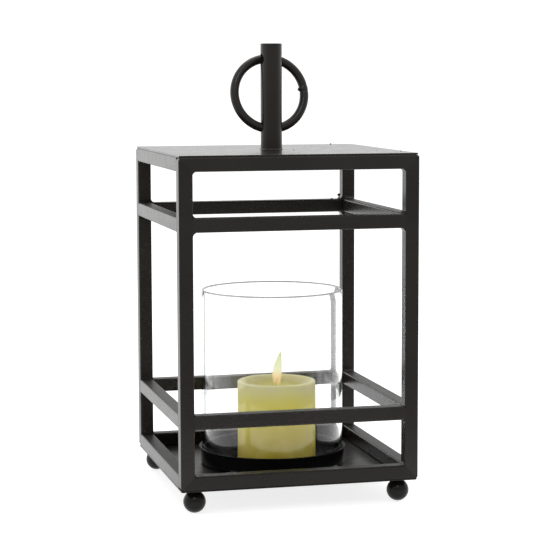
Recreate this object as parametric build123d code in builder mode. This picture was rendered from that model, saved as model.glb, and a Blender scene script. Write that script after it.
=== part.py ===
"""Candle lantern: a welded cage of square tube on four ball feet, with a lifting ring,
a shallow dish, a glass cylinder and a pillar candle.

Millimetres, +Z up, +X to the right of the front, +Y to the back. The origin is on the
floor, under the middle of the cage.
"""
from build123d import *
from math import asin, cos, degrees, radians, sin, sqrt
import os

os.makedirs("parts", exist_ok=True)

# ---------------------------------------------------------------- driving dimensions
# Cage of square tube
WIDTH = 208.3             # outside, left to right
DEPTH = 208.3             # outside, front to back
FRAME_HEIGHT = 279.7      # underside of the base rails to the top of the top rails
TUBE = 12.0               # outside of the square tube
TUBE_WALL = 1.5
TUBE_CORNER = 1.3         # outside corner radius of the tube
GROUND_CORNER = 3.2       # corners of the front and back frames, ground round after welding
LOWER_WINDOW = 39.7       # clear height between the base rails and the lower rails
UPPER_WINDOW = 38.4       # clear height between the upper rails and the top rails
SEAM_REACH = 0.8          # how far a flush weld reaches over the rounded edge of a post

# Plates that close the cage at the top and the bottom
TOP_PLATE_THICK = 1.5
TOP_PLATE_SETBACK = 0.7   # from the outside of the tubes to the plate's edge
BASE_PLATE_THICK = 1.2
BASE_PLATE_SETBACK = 0.5
PLATE_CORNER = 2.0

# Ball feet
FOOT_DIAMETER = 19.3
FOOT_NECK_DIAMETER = 9.0
FOOT_STANDOFF = 1.0       # from the top of the ball to the base plate
FOOT_INSET = 14.1         # centre of the ball from the outside of the cage
FOOT_WELD_REACH = 2.4
FOOT_WELD_RISE = 1.7

# Handle post and its ring
HANDLE_DIAMETER = 19.0
HANDLE_LENGTH = 93.4      # above the top plate
HANDLE_EDGE = 0.8         # rounding of the top edge
HANDLE_WELD = 2.2         # leg of the weld round the foot of the post
HOLE_HEIGHT = 79.3        # axis of the cross hole above the top plate
RING_BAR = 8.0            # diameter of the round bar
RING_RADIUS = 31.75       # centre of the ring to the centre of its bar
RING_HOLE_CLEARANCE = 0.4
REST_GAP = 0.3            # left between two pieces where one leans or stands on the other
RING_WELD_RADIUS = 2.3    # nub of weld on the inside of the ring
RING_WELD_ANGLE = 8.0     # degrees up from the right-hand side of the ring

# Weld fillets in the corners of the windows, by ring of rails
TOP_WELD = 2.6
UPPER_WELD = 3.2
LOWER_WELD = 1.6
BASE_WELD = 1.8
WELD_HOLLOW = 0.25        # how far a weld's face is hollowed, as a share of its leg

# Glass cylinder, open at both ends
GLASS_DIAMETER = 126.2
GLASS_WALL = 2.5
GLASS_HEIGHT = 155.5
GLASS_EDGE = 0.9          # fire-polished rounding of both ends

# Dish that the glass and the candle stand in
DISH_HEIGHT = 15.4
DISH_SHEET = 1.0
DISH_LIP = 1.3            # how far the rolled rim stands out from the wall
DISH_LIP_HEIGHT = 1.8
DISH_FOOT_RADIUS = 2.0    # bend between floor and wall, on the outside
DISH_GLASS_CLEARANCE = 0.5
TACK_LEG = 2.4
TACK_LENGTH = 7.0
TACK_COUNT = 4

# Pillar candle
CANDLE_DIAMETER = 70.6
CANDLE_HEIGHT = 72.8
CANDLE_SHIFT = 4.0        # to the right of the middle of the dish
CANDLE_RIM = 5.0          # width of the standing rim round the melted pool
CANDLE_POOL = 6.0         # depth of the pool below the rim
CANDLE_EDGE = 1.6
WICK_DIAMETER = 2.0
WICK_RISE = 5.0           # straight wick above the pool
WICK_BEND = 4.0           # radius of the bend at the tip
WICK_BEND_ANGLE = 50.0    # degrees

# ---------------------------------------------------------------- levels and places
BASE_PLATE_Z = FOOT_DIAMETER + FOOT_STANDOFF
FRAME_Z = BASE_PLATE_Z + BASE_PLATE_THICK
FRAME_TOP = FRAME_Z + FRAME_HEIGHT
PLATE_TOP = FRAME_TOP + TOP_PLATE_THICK
LOWER_RAIL_Z = FRAME_Z + TUBE + LOWER_WINDOW
UPPER_RAIL_Z = FRAME_TOP - TUBE - UPPER_WINDOW - TUBE
TOP_RAIL_Z = FRAME_TOP - TUBE

POST_X = WIDTH / 2 - TUBE / 2      # centre of a corner post
POST_Y = DEPTH / 2 - TUBE / 2
TUBE_BORE = TUBE - 2 * TUBE_WALL
BORE_CORNER = TUBE_CORNER / 2
WELD_WIDTH = TUBE - 2 * TUBE_CORNER

DISH_FLOOR_Z = FRAME_Z + DISH_SHEET
DISH_INSIDE = GLASS_DIAMETER / 2 + DISH_GLASS_CLEARANCE
DISH_OUTSIDE = DISH_INSIDE + DISH_SHEET
STAND_Z = DISH_FLOOR_Z + REST_GAP  # underside of the glass and of the candle

# The ring's bar is curved and the hole is straight. This hole and this lift of the ring
# above the hole's axis leave the same clearance at the top of the hole and at its mouths.
BAR_R = RING_BAR / 2
HANDLE_R = HANDLE_DIAMETER / 2
FREE_RADIUS = RING_RADIUS - BAR_R - RING_HOLE_CLEARANCE
MOUTH_DROP = RING_RADIUS - sqrt(FREE_RADIUS**2 - HANDLE_R**2)
HOLE_RADIUS = (BAR_R + RING_HOLE_CLEARANCE + MOUTH_DROP) / 2
RING_LIFT = HOLE_RADIUS - BAR_R - RING_HOLE_CLEARANCE
HOLE_Z = PLATE_TOP + HOLE_HEIGHT

# At rest the ring hangs from the hole and its lower side leans on the back of the post.
RING_REACH = 2 * RING_RADIUS - RING_LIFT
LEAN = asin((HANDLE_R + BAR_R + REST_GAP) / RING_REACH)
RING_DROP = RING_RADIUS - RING_LIFT
RING_CENTRE = Vector(0, RING_DROP * sin(LEAN), HOLE_Z - RING_DROP * cos(LEAN))
RING_NORMAL = Vector(0, cos(LEAN), sin(LEAN))

SIDES_X = {"left": -1, "right": 1}
SIDES_Y = {"front": -1, "back": 1}
CORNERS = [(name_y + "_" + name_x, sx, sy)
           for name_y, sy in SIDES_Y.items()
           for name_x, sx in SIDES_X.items()]


def save(builder, node):
    """Label a finished piece and write its STEP file."""
    builder.part.label = node
    export_step(builder.part, "parts/" + node + ".step")


# ---------------------------------------------------------------- cage of square tube
def tube_section():
    """The hollow section of the square tube, drawn in the sketch that is open."""
    RectangleRounded(TUBE, TUBE, TUBE_CORNER)
    RectangleRounded(TUBE_BORE, TUBE_BORE, BORE_CORNER, mode=Mode.SUBTRACT)


def mitre_plane(sx, end):
    """The 45 degree cut at a corner of the front and back frames.

    The plane holds the corner's edge, and its normal points to the rail's side.
    """
    corner_z = FRAME_TOP if end > 0 else FRAME_Z
    return Plane(origin=(sx * WIDTH / 2, 0, corner_z), x_dir=(0, 1, 0), z_dir=(-sx, 0, end))


def grind_corners():
    """Round the outside corners of the front and back frames on the piece being built."""
    with BuildSketch(Plane.XZ.offset(-DEPTH)) as outline:
        with Locations((0, FRAME_Z + FRAME_HEIGHT / 2)):
            RectangleRounded(WIDTH, FRAME_HEIGHT, GROUND_CORNER)
    extrude(outline.sketch, amount=2 * DEPTH, mode=Mode.INTERSECT)


for corner, sx, sy in CORNERS:
    with BuildPart() as corner_post:
        with BuildSketch(Plane.XY.offset(FRAME_Z)):
            with Locations((sx * POST_X, sy * POST_Y)):
                tube_section()
        extrude(amount=FRAME_HEIGHT)
        split(bisect_by=mitre_plane(sx, 1), keep=Keep.BOTTOM)
        split(bisect_by=mitre_plane(sx, -1), keep=Keep.BOTTOM)
        grind_corners()
    save(corner_post, "corner_post_" + corner)

# The front and back rails of the top and base rings are mitred into the corner posts.
for ring, rail_z, end in (("top", TOP_RAIL_Z, 1), ("base", FRAME_Z, -1)):
    for side, sy in SIDES_Y.items():
        with BuildPart() as mitred_rail:
            with BuildSketch(Plane.YZ.offset(-WIDTH / 2)):
                with Locations((sy * POST_Y, rail_z + TUBE / 2)):
                    tube_section()
            extrude(amount=WIDTH)
            for sx in (-1, 1):
                split(bisect_by=mitre_plane(sx, end), keep=Keep.TOP)
            grind_corners()
        save(mitred_rail, ring + "_rail_" + side)

# The front and back rails of the two middle rings are butted between the corner posts.
for ring, rail_z in (("upper", UPPER_RAIL_Z), ("lower", LOWER_RAIL_Z)):
    for side, sy in SIDES_Y.items():
        with BuildPart() as cross_rail:
            with BuildSketch(Plane.YZ):
                with Locations((sy * POST_Y, rail_z + TUBE / 2)):
                    tube_section()
            extrude(amount=WIDTH / 2 - TUBE, both=True)
        save(cross_rail, ring + "_rail_" + side)

# The side rails of all four rings are butted between the front frame and the back frame.
RINGS = (("top", TOP_RAIL_Z), ("upper", UPPER_RAIL_Z), ("lower", LOWER_RAIL_Z), ("base", FRAME_Z))
for ring, rail_z in RINGS:
    for side, sx in SIDES_X.items():
        with BuildPart() as side_rail:
            with BuildSketch(Plane.XZ):
                with Locations((sx * POST_X, rail_z + TUBE / 2)):
                    tube_section()
            extrude(amount=DEPTH / 2 - TUBE, both=True)
        save(side_rail, ring + "_rail_" + side)


# ---------------------------------------------------------------- welds of the cage
def window_corner_planes(z, up):
    """A plane at each corner of the four windows beside a rail, at one height.

    Its origin is where the rail's face meets the post, local X runs along the rail away
    from the post, and local Y runs along the post away from the rail.
    """
    planes = []
    for _, sx, sy in CORNERS:
        planes.append(Plane(origin=(sx * (WIDTH / 2 - TUBE), sy * POST_Y, z),
                            x_dir=(-sx, 0, 0), z_dir=(0, sx * up, 0)))
        planes.append(Plane(origin=(sx * POST_X, sy * (DEPTH / 2 - TUBE), z),
                            x_dir=(0, -sy, 0), z_dir=(-sy * up, 0, 0)))
    return planes


def weld_fillets(leg, places):
    """Hollow-faced fillets with legs of one length, one for each plane."""
    middle = leg / 2 * (1 - WELD_HOLLOW)
    for plane in places:
        with BuildSketch(plane) as section:
            with BuildLine():
                Line((leg, 0), (0, 0))
                Line((0, 0), (0, leg))
                ThreePointArc((0, leg), (middle, middle), (leg, 0))
            make_face()
        extrude(section.sketch, amount=WELD_WIDTH / 2, both=True)


def flush_seams(rail_z, edges):
    """Weld metal, ground flush, over the rounded edges of the posts beside one ring of rails.

    Each edge is (x, y, ux, uy): the sharp corner that the rounding cuts off, and the way
    out of the post there.
    """
    short = TUBE_CORNER - SEAM_REACH
    along = sqrt(TUBE_CORNER**2 - short**2)
    middle = TUBE_CORNER / sqrt(2)
    for x, y, ux, uy in edges:
        centre_x = x - ux * TUBE_CORNER
        centre_y = y - uy * TUBE_CORNER
        start = (centre_x + ux * short, centre_y + uy * along)
        end = (centre_x + ux * along, centre_y + uy * short)
        with BuildSketch(Plane.XY.offset(rail_z + TUBE_CORNER)) as section:
            with BuildLine():
                Line(end, (x, centre_y + uy * short))
                Line((x, centre_y + uy * short), (x, y))
                Line((x, y), (centre_x + ux * short, y))
                Line((centre_x + ux * short, y), start)
                ThreePointArc(start, (centre_x + ux * middle, centre_y + uy * middle), end)
            make_face()
        extrude(section.sketch, amount=WELD_WIDTH)


INNER_X = WIDTH / 2 - TUBE
INNER_Y = DEPTH / 2 - TUBE
SIDE_EDGES = [(sx * WIDTH / 2, sy * INNER_Y, sx, -sy) for _, sx, sy in CORNERS]
CROSS_EDGES = [(sx * INNER_X, sy * DEPTH / 2, -sx, sy) for _, sx, sy in CORNERS]
INNER_EDGES = [(sx * INNER_X, sy * INNER_Y, -sx, -sy) for _, sx, sy in CORNERS]

with BuildPart() as top_ring_welds:
    weld_fillets(TOP_WELD, window_corner_planes(TOP_RAIL_Z, -1))
    flush_seams(TOP_RAIL_Z, SIDE_EDGES)
save(top_ring_welds, "top_ring_welds")

with BuildPart() as upper_ring_welds:
    weld_fillets(UPPER_WELD, window_corner_planes(UPPER_RAIL_Z, -1))
    weld_fillets(UPPER_WELD, window_corner_planes(UPPER_RAIL_Z + TUBE, 1))
    flush_seams(UPPER_RAIL_Z, SIDE_EDGES + CROSS_EDGES + INNER_EDGES)
save(upper_ring_welds, "upper_ring_welds")

with BuildPart() as lower_ring_welds:
    weld_fillets(LOWER_WELD, window_corner_planes(LOWER_RAIL_Z, -1))
    weld_fillets(LOWER_WELD, window_corner_planes(LOWER_RAIL_Z + TUBE, 1))
    flush_seams(LOWER_RAIL_Z, SIDE_EDGES + CROSS_EDGES + INNER_EDGES)
save(lower_ring_welds, "lower_ring_welds")

with BuildPart() as base_ring_welds:
    weld_fillets(BASE_WELD, window_corner_planes(FRAME_Z + TUBE, 1))
    flush_seams(FRAME_Z, SIDE_EDGES)
save(base_ring_welds, "base_ring_welds")

# ---------------------------------------------------------------- plates
with BuildPart() as top_plate:
    with BuildSketch(Plane.XY.offset(FRAME_TOP)):
        RectangleRounded(WIDTH - 2 * TOP_PLATE_SETBACK, DEPTH - 2 * TOP_PLATE_SETBACK, PLATE_CORNER)
    extrude(amount=TOP_PLATE_THICK)
    fillet(top_plate.edges().group_by(Axis.Z)[-1], TOP_PLATE_THICK / 4)
save(top_plate, "top_plate")

with BuildPart() as base_plate:
    with BuildSketch(Plane.XY.offset(BASE_PLATE_Z)):
        RectangleRounded(WIDTH - 2 * BASE_PLATE_SETBACK, DEPTH - 2 * BASE_PLATE_SETBACK, PLATE_CORNER)
    extrude(amount=BASE_PLATE_THICK)
    fillet(base_plate.edges().group_by(Axis.Z)[0], BASE_PLATE_THICK / 4)
save(base_plate, "base_plate")

# ---------------------------------------------------------------- ball feet
FOOT_X = WIDTH / 2 - FOOT_INSET
FOOT_Y = DEPTH / 2 - FOOT_INSET
FOOT_R = FOOT_DIAMETER / 2
NECK_R = FOOT_NECK_DIAMETER / 2


def upright_plane(x, y, z):
    """A plane through an upright axis: local X to the right, local Y up."""
    return Plane(origin=(x, y, z), x_dir=(1, 0, 0), z_dir=(0, -1, 0))


for corner, sx, sy in CORNERS:
    with BuildPart() as ball_foot:
        with BuildSketch(upright_plane(sx * FOOT_X, sy * FOOT_Y, 0)):
            neck_start = FOOT_R + sqrt(FOOT_R**2 - NECK_R**2)
            with BuildLine():
                Line((0, BASE_PLATE_Z), (0, 0))
                ThreePointArc((0, 0), (FOOT_R, FOOT_R), (NECK_R, neck_start))
                Line((NECK_R, neck_start), (NECK_R, BASE_PLATE_Z))
                Line((NECK_R, BASE_PLATE_Z), (0, BASE_PLATE_Z))
            make_face()
        revolve(axis=Axis((sx * FOOT_X, sy * FOOT_Y, 0), (0, 0, 1)))
    save(ball_foot, "ball_foot_" + corner)

with BuildPart() as foot_welds:
    for _, sx, sy in CORNERS:
        with BuildSketch(upright_plane(sx * FOOT_X, sy * FOOT_Y, BASE_PLATE_Z)):
            with BuildLine():
                Line((NECK_R, -FOOT_WELD_RISE), (NECK_R, 0))
                Line((NECK_R, 0), (NECK_R + FOOT_WELD_REACH, 0))
                Line((NECK_R + FOOT_WELD_REACH, 0), (NECK_R, -FOOT_WELD_RISE))
            make_face()
        revolve(axis=Axis((sx * FOOT_X, sy * FOOT_Y, 0), (0, 0, 1)))
save(foot_welds, "foot_welds")

# ---------------------------------------------------------------- handle post and ring
with BuildPart() as handle_post:
    with BuildSketch(Plane.XY.offset(PLATE_TOP)):
        Circle(HANDLE_R)
    extrude(amount=HANDLE_LENGTH)
    fillet(handle_post.edges().group_by(Axis.Z)[-1], HANDLE_EDGE)
    with BuildSketch(Plane.YZ):
        with Locations((0, HOLE_Z)):
            Circle(HOLE_RADIUS)
    extrude(amount=HANDLE_DIAMETER, both=True, mode=Mode.SUBTRACT)
save(handle_post, "handle_post")

with BuildPart() as handle_weld:
    with BuildSketch(upright_plane(0, 0, PLATE_TOP)):
        middle = HANDLE_WELD / 2 * (1 - WELD_HOLLOW)
        with BuildLine():
            Line((HANDLE_R + HANDLE_WELD, 0), (HANDLE_R, 0))
            Line((HANDLE_R, 0), (HANDLE_R, HANDLE_WELD))
            ThreePointArc((HANDLE_R, HANDLE_WELD), (HANDLE_R + middle, middle),
                          (HANDLE_R + HANDLE_WELD, 0))
        make_face()
    revolve(axis=Axis.Z)
save(handle_weld, "handle_weld")

RING_AXIS = Axis(RING_CENTRE, RING_NORMAL)
RING_SECTION_PLANE = Plane(origin=RING_CENTRE, x_dir=(1, 0, 0), z_dir=(0, -sin(LEAN), cos(LEAN)))


def ring_bar(mode):
    """The ring of round bar, added to or cut from the piece being built."""
    with BuildSketch(RING_SECTION_PLANE) as section:
        with Locations((RING_RADIUS, 0)):
            Circle(BAR_R)
    revolve(section.sketch, axis=RING_AXIS, mode=mode)


with BuildPart() as handle_ring:
    ring_bar(Mode.ADD)
save(handle_ring, "handle_ring")

# The butt weld stands proud on the inside of the ring only, and fits over its bar.
WELD_DIRECTION = Vector(1, 0, 0).rotate(Axis((0, 0, 0), RING_NORMAL), -RING_WELD_ANGLE)
WELD_CENTRE = RING_CENTRE + WELD_DIRECTION * (RING_RADIUS - BAR_R + RING_WELD_RADIUS / 2)
with BuildPart() as ring_weld:
    with BuildSketch(Plane(origin=WELD_CENTRE, x_dir=WELD_DIRECTION, z_dir=RING_NORMAL)):
        with BuildLine():
            CenterArc((0, 0), RING_WELD_RADIUS, 0, 180)
            Line((-RING_WELD_RADIUS, 0), (RING_WELD_RADIUS, 0))
        make_face()
    revolve(axis=Axis(WELD_CENTRE, WELD_DIRECTION))
    ring_bar(Mode.SUBTRACT)
save(ring_weld, "ring_weld")

# ---------------------------------------------------------------- dish
LIP_R = DISH_LIP_HEIGHT / 2
LIP_OUTSIDE = DISH_OUTSIDE + DISH_LIP
with BuildPart() as candle_dish:
    with BuildSketch(upright_plane(0, 0, FRAME_Z)):
        inner_bend = DISH_FOOT_RADIUS - DISH_SHEET
        with BuildLine():
            Line((0, 0), (DISH_OUTSIDE - DISH_FOOT_RADIUS, 0))
            RadiusArc((DISH_OUTSIDE - DISH_FOOT_RADIUS, 0), (DISH_OUTSIDE, DISH_FOOT_RADIUS),
                      -DISH_FOOT_RADIUS)
            Line((DISH_OUTSIDE, DISH_FOOT_RADIUS), (DISH_OUTSIDE, DISH_HEIGHT - DISH_LIP_HEIGHT))
            Line((DISH_OUTSIDE, DISH_HEIGHT - DISH_LIP_HEIGHT),
                 (LIP_OUTSIDE - LIP_R, DISH_HEIGHT - DISH_LIP_HEIGHT))
            ThreePointArc((LIP_OUTSIDE - LIP_R, DISH_HEIGHT - DISH_LIP_HEIGHT),
                          (LIP_OUTSIDE, DISH_HEIGHT - LIP_R), (LIP_OUTSIDE - LIP_R, DISH_HEIGHT))
            Line((LIP_OUTSIDE - LIP_R, DISH_HEIGHT), (DISH_INSIDE + DISH_SHEET / 2, DISH_HEIGHT))
            RadiusArc((DISH_INSIDE + DISH_SHEET / 2, DISH_HEIGHT),
                      (DISH_INSIDE, DISH_HEIGHT - DISH_SHEET / 2), -DISH_SHEET / 2)
            Line((DISH_INSIDE, DISH_HEIGHT - DISH_SHEET / 2), (DISH_INSIDE, DISH_SHEET + inner_bend))
            RadiusArc((DISH_INSIDE, DISH_SHEET + inner_bend), (DISH_INSIDE - inner_bend, DISH_SHEET),
                      inner_bend)
            Line((DISH_INSIDE - inner_bend, DISH_SHEET), (0, DISH_SHEET))
            Line((0, DISH_SHEET), (0, 0))
        make_face()
    revolve(axis=Axis.Z)
save(candle_dish, "candle_dish")

# Short tack welds between the wall of the dish and the base plate
TACK_ANGLE = degrees(TACK_LENGTH / DISH_OUTSIDE)
with BuildPart() as dish_tack_welds:
    for index in range(TACK_COUNT):
        turn = 360 / TACK_COUNT * (index + 0.5) - TACK_ANGLE / 2
        tack_x = Vector(cos(radians(turn)), sin(radians(turn)), 0)
        tack_normal = Vector(sin(radians(turn)), -cos(radians(turn)), 0)
        with BuildSketch(Plane(origin=(0, 0, FRAME_Z), x_dir=tack_x, z_dir=tack_normal)):
            with BuildLine():
                RadiusArc((DISH_OUTSIDE - DISH_FOOT_RADIUS, 0), (DISH_OUTSIDE, DISH_FOOT_RADIUS),
                          -DISH_FOOT_RADIUS)
                Line((DISH_OUTSIDE, DISH_FOOT_RADIUS), (DISH_OUTSIDE, TACK_LEG))
                Line((DISH_OUTSIDE, TACK_LEG), (DISH_OUTSIDE + TACK_LEG, 0))
                Line((DISH_OUTSIDE + TACK_LEG, 0), (DISH_OUTSIDE - DISH_FOOT_RADIUS, 0))
            make_face()
        revolve(axis=Axis.Z, revolution_arc=TACK_ANGLE)
save(dish_tack_welds, "dish_tack_welds")

# ---------------------------------------------------------------- glass cylinder
GLASS_R = GLASS_DIAMETER / 2
with BuildPart() as glass_cylinder:
    with BuildSketch(upright_plane(0, 0, STAND_Z)):
        with Locations((GLASS_R - GLASS_WALL / 2, GLASS_HEIGHT / 2)):
            RectangleRounded(GLASS_WALL, GLASS_HEIGHT, GLASS_EDGE)
    revolve(axis=Axis.Z)
save(glass_cylinder, "glass_cylinder")

# ---------------------------------------------------------------- candle
CANDLE_R = CANDLE_DIAMETER / 2
WICK_R = WICK_DIAMETER / 2
POOL_R = CANDLE_R - CANDLE_RIM
POOL_Z = CANDLE_HEIGHT - CANDLE_POOL
CANDLE_AXIS = Axis((CANDLE_SHIFT, 0, 0), (0, 0, 1))

with BuildPart() as candle_wax:
    with BuildSketch(upright_plane(CANDLE_SHIFT, 0, STAND_Z)):
        bend = min(CANDLE_POOL, POOL_R) * 0.6
        with BuildLine():
            Line((WICK_R, 0), (CANDLE_R - CANDLE_EDGE, 0))
            RadiusArc((CANDLE_R - CANDLE_EDGE, 0), (CANDLE_R, CANDLE_EDGE), -CANDLE_EDGE)
            Line((CANDLE_R, CANDLE_EDGE), (CANDLE_R, CANDLE_HEIGHT - CANDLE_EDGE))
            RadiusArc((CANDLE_R, CANDLE_HEIGHT - CANDLE_EDGE), (CANDLE_R - CANDLE_EDGE, CANDLE_HEIGHT),
                      -CANDLE_EDGE)
            Line((CANDLE_R - CANDLE_EDGE, CANDLE_HEIGHT), (POOL_R + CANDLE_EDGE, CANDLE_HEIGHT))
            RadiusArc((POOL_R + CANDLE_EDGE, CANDLE_HEIGHT), (POOL_R, CANDLE_HEIGHT - CANDLE_EDGE),
                      -CANDLE_EDGE)
            Line((POOL_R, CANDLE_HEIGHT - CANDLE_EDGE), (POOL_R, POOL_Z + bend))
            RadiusArc((POOL_R, POOL_Z + bend), (POOL_R - bend, POOL_Z), bend)
            Line((POOL_R - bend, POOL_Z), (WICK_R, POOL_Z))
            Line((WICK_R, POOL_Z), (WICK_R, 0))
        make_face()
    revolve(axis=CANDLE_AXIS)
save(candle_wax, "candle_wax")

# The wick runs the whole height of the wax, and its burnt tip bends over.
with BuildPart() as candle_wick:
    with BuildLine() as wick_path:
        straight_top = STAND_Z + POOL_Z + WICK_RISE
        shaft = Line((CANDLE_SHIFT, 0, STAND_Z), (CANDLE_SHIFT, 0, straight_top))
        bend_end = (CANDLE_SHIFT + WICK_BEND * (1 - cos(radians(WICK_BEND_ANGLE))), 0,
                    straight_top + WICK_BEND * sin(radians(WICK_BEND_ANGLE)))
        TangentArc(shaft @ 1, bend_end, tangent=(0, 0, 1))
    with BuildSketch(Plane.XY.offset(STAND_Z)):
        with Locations((CANDLE_SHIFT, 0)):
            Circle(WICK_R)
    sweep()
save(candle_wick, "candle_wick")
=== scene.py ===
# %% [markdown]
# # A candle lantern, finished in Blender
#
# The lantern is a welded cage of square steel tube. It stands on four ball feet, a round bar
# with a lifting ring rises from its top plate, and a shallow dish inside it holds a glass
# cylinder and a pillar candle. The CAD model already gives every part its true place, so the
# lesson starts from that frame. Straight steel parts stay as they are and only get a finish.
# Round, cast or melted parts are rebuilt here with more detail than a CAD solid carries.
#
# Everything is in metres, with +Z up, +X to the right of the front and +Y to the back.

# %% Load the frame
import math
import random
import bmesh
import bpy
from mathutils import Matrix, Vector, noise


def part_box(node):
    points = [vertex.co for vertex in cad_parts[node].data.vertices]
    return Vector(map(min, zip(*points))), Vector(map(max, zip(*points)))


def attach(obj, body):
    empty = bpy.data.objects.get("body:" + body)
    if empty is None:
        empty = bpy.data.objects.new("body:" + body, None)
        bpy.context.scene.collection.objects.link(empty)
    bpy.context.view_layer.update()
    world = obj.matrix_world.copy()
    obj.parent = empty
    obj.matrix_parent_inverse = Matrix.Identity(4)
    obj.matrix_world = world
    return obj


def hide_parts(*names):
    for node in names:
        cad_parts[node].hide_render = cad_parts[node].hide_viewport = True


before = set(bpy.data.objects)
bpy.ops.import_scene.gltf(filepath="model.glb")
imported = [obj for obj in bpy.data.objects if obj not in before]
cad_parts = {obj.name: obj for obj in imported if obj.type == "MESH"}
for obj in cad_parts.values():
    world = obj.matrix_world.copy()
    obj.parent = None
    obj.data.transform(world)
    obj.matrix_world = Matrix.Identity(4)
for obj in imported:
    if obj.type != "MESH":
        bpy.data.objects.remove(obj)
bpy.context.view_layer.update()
MM = 0.001

# %% [markdown]
# ## The camera
#
# The lantern is seen from its front left, a little above the middle, through a long lens, so
# upright tubes stay upright and the cage looks almost square. A long lens far away could be
# imitated by an orthographic camera, but the far corners of the cage are plainly smaller than
# the near ones, so a real perspective camera is used. Its place and angles are fixed numbers,
# and a slight shift of the lens trims the framing.

# %% Place the camera
CAMERA_PLACE = Vector((-0.39559, -1.61531, 0.37214))
CAMERA_TURN = 0.24941     # radians to the right of straight ahead
CAMERA_DIP = 0.11012      # radians below the horizon
CAMERA_ROLL = -0.00201
LENS = 120.17             # mm, on a sensor 36 mm wide

lens_data = bpy.data.cameras.new("camera")
lens_data.lens = LENS
lens_data.sensor_width = 36.0
lens_data.shift_x = -0.0160
lens_data.shift_y = -0.0047
camera = bpy.data.objects.new("camera", lens_data)
bpy.context.scene.collection.objects.link(camera)
aim = Matrix.Rotation(-CAMERA_TURN, 4, "Z") @ Matrix.Rotation(math.pi / 2 - CAMERA_DIP, 4, "X")
camera.matrix_world = Matrix.Translation(CAMERA_PLACE) @ aim @ Matrix.Rotation(CAMERA_ROLL, 4, "Z")
bpy.context.scene.camera = camera
print("camera distance, m:", round(CAMERA_PLACE.length, 3))

# %% [markdown]
# ## Small helpers
#
# The room and every finish below are made of the same few ingredients: a noise that gives a
# surface its grain, a range that turns the grain into a roughness, a ramp that turns it into a
# colour, and a relief that turns it into small bumps. Each ingredient is one short function.
# The finishes read object coordinates. A part's object stays at the origin, so these are plain
# metres in the lantern, and the pattern travels with the part when it moves.

# %% Wires, places and sums
scene = bpy.context.scene


def new_finish(name):
    """A node material with one Principled shader, and that shader."""
    material = bpy.data.materials.new(name)
    material.use_nodes = True
    return material, material.node_tree.nodes["Principled BSDF"]


def add_node(owner, kind):
    """A new node in a material, or in the world."""
    return owner.node_tree.nodes.new(kind)


def plug(owner, source, socket):
    """Wire an output to an input."""
    owner.node_tree.links.new(source, socket)


def places(material, stretch=(1.0, 1.0, 1.0)):
    """Object coordinates, in metres, stretched along each axis."""
    coordinates = add_node(material, "ShaderNodeTexCoord")
    mapping = add_node(material, "ShaderNodeMapping")
    mapping.inputs["Scale"].default_value = stretch
    plug(material, coordinates.outputs["Object"], mapping.inputs["Vector"])
    return mapping.outputs["Vector"]


def along(owner, source, axis):
    """How far a place or a direction goes along X, Y or Z."""
    node = add_node(owner, "ShaderNodeSeparateXYZ")
    plug(owner, source, node.inputs[0])
    return node.outputs[axis]


def maths(owner, operation, *values):
    """Outputs and plain numbers, put together by ADD, MULTIPLY or MULTIPLY_ADD."""
    node = add_node(owner, "ShaderNodeMath")
    node.operation = operation
    for value, socket in zip(values, node.inputs):
        if isinstance(value, float):
            socket.default_value = value
        else:
            plug(owner, value, socket)
    return node.outputs[0]


# %% Grain, ranges, colours and bumps
def ranged(owner, source, low, high, new_low, new_high, soft=False):
    """Stretch the values from low to high over new_low to new_high. Soft eases both ends."""
    node = add_node(owner, "ShaderNodeMapRange")
    if soft:
        node.interpolation_type = "SMOOTHSTEP"
    node.inputs["From Min"].default_value = low
    node.inputs["From Max"].default_value = high
    node.inputs["To Min"].default_value = new_low
    node.inputs["To Max"].default_value = new_high
    plug(owner, source, node.inputs["Value"])
    return node.outputs["Result"]


def grain(material, per_metre, detail=2.0, stretch=(1.0, 1.0, 1.0), swirl=0.0):
    """A soft noise from 0 to 1, with that many blots to the metre."""
    node = add_node(material, "ShaderNodeTexNoise")
    node.inputs["Scale"].default_value = per_metre
    node.inputs["Detail"].default_value = detail
    node.inputs["Distortion"].default_value = swirl
    plug(material, places(material, stretch), node.inputs["Vector"])
    return node.outputs[0]


def specks(material, per_metre, size):
    """1 inside small round specks and 0 outside them."""
    node = add_node(material, "ShaderNodeTexVoronoi")
    node.inputs["Scale"].default_value = per_metre
    plug(material, places(material), node.inputs["Vector"])
    return ranged(material, node.outputs["Distance"], size, size * 0.5, 0.0, 1.0)


def ramp(material, source, stops):
    """Turn a value into a colour. Each stop is (position, red, green, blue)."""
    node = add_node(material, "ShaderNodeValToRGB")
    while len(node.color_ramp.elements) < len(stops):
        node.color_ramp.elements.new(0.5)
    for element, (position, red, green, blue) in zip(node.color_ramp.elements, stops):
        element.position = position
        element.color = (red, green, blue, 1.0)
    plug(material, source, node.inputs["Fac"])
    return node.outputs["Color"]


def blend_colours(material, share, first, second, kind="MIX"):
    """Mix two colours. Each may be an output or three numbers."""
    node = add_node(material, "ShaderNodeMix")
    node.data_type = "RGBA"
    node.blend_type = kind
    share_socket, first_socket, second_socket = node.inputs[0], node.inputs[6], node.inputs[7]
    for value, socket in ((share, share_socket), (first, first_socket), (second, second_socket)):
        if isinstance(value, bpy.types.NodeSocket):
            plug(material, value, socket)
        elif isinstance(value, float):
            socket.default_value = value
        else:
            socket.default_value = (*value, 1.0)
    return node.outputs[2]


def relief(material, height, depth, over=None):
    """Bumps of that depth in metres, laid over other bumps if they are given."""
    node = add_node(material, "ShaderNodeBump")
    node.inputs["Strength"].default_value = 1.0
    node.inputs["Distance"].default_value = depth
    plug(material, height, node.inputs["Height"])
    if over is not None:
        plug(material, over, node.inputs["Normal"])
    return node.outputs["Normal"]


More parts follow.
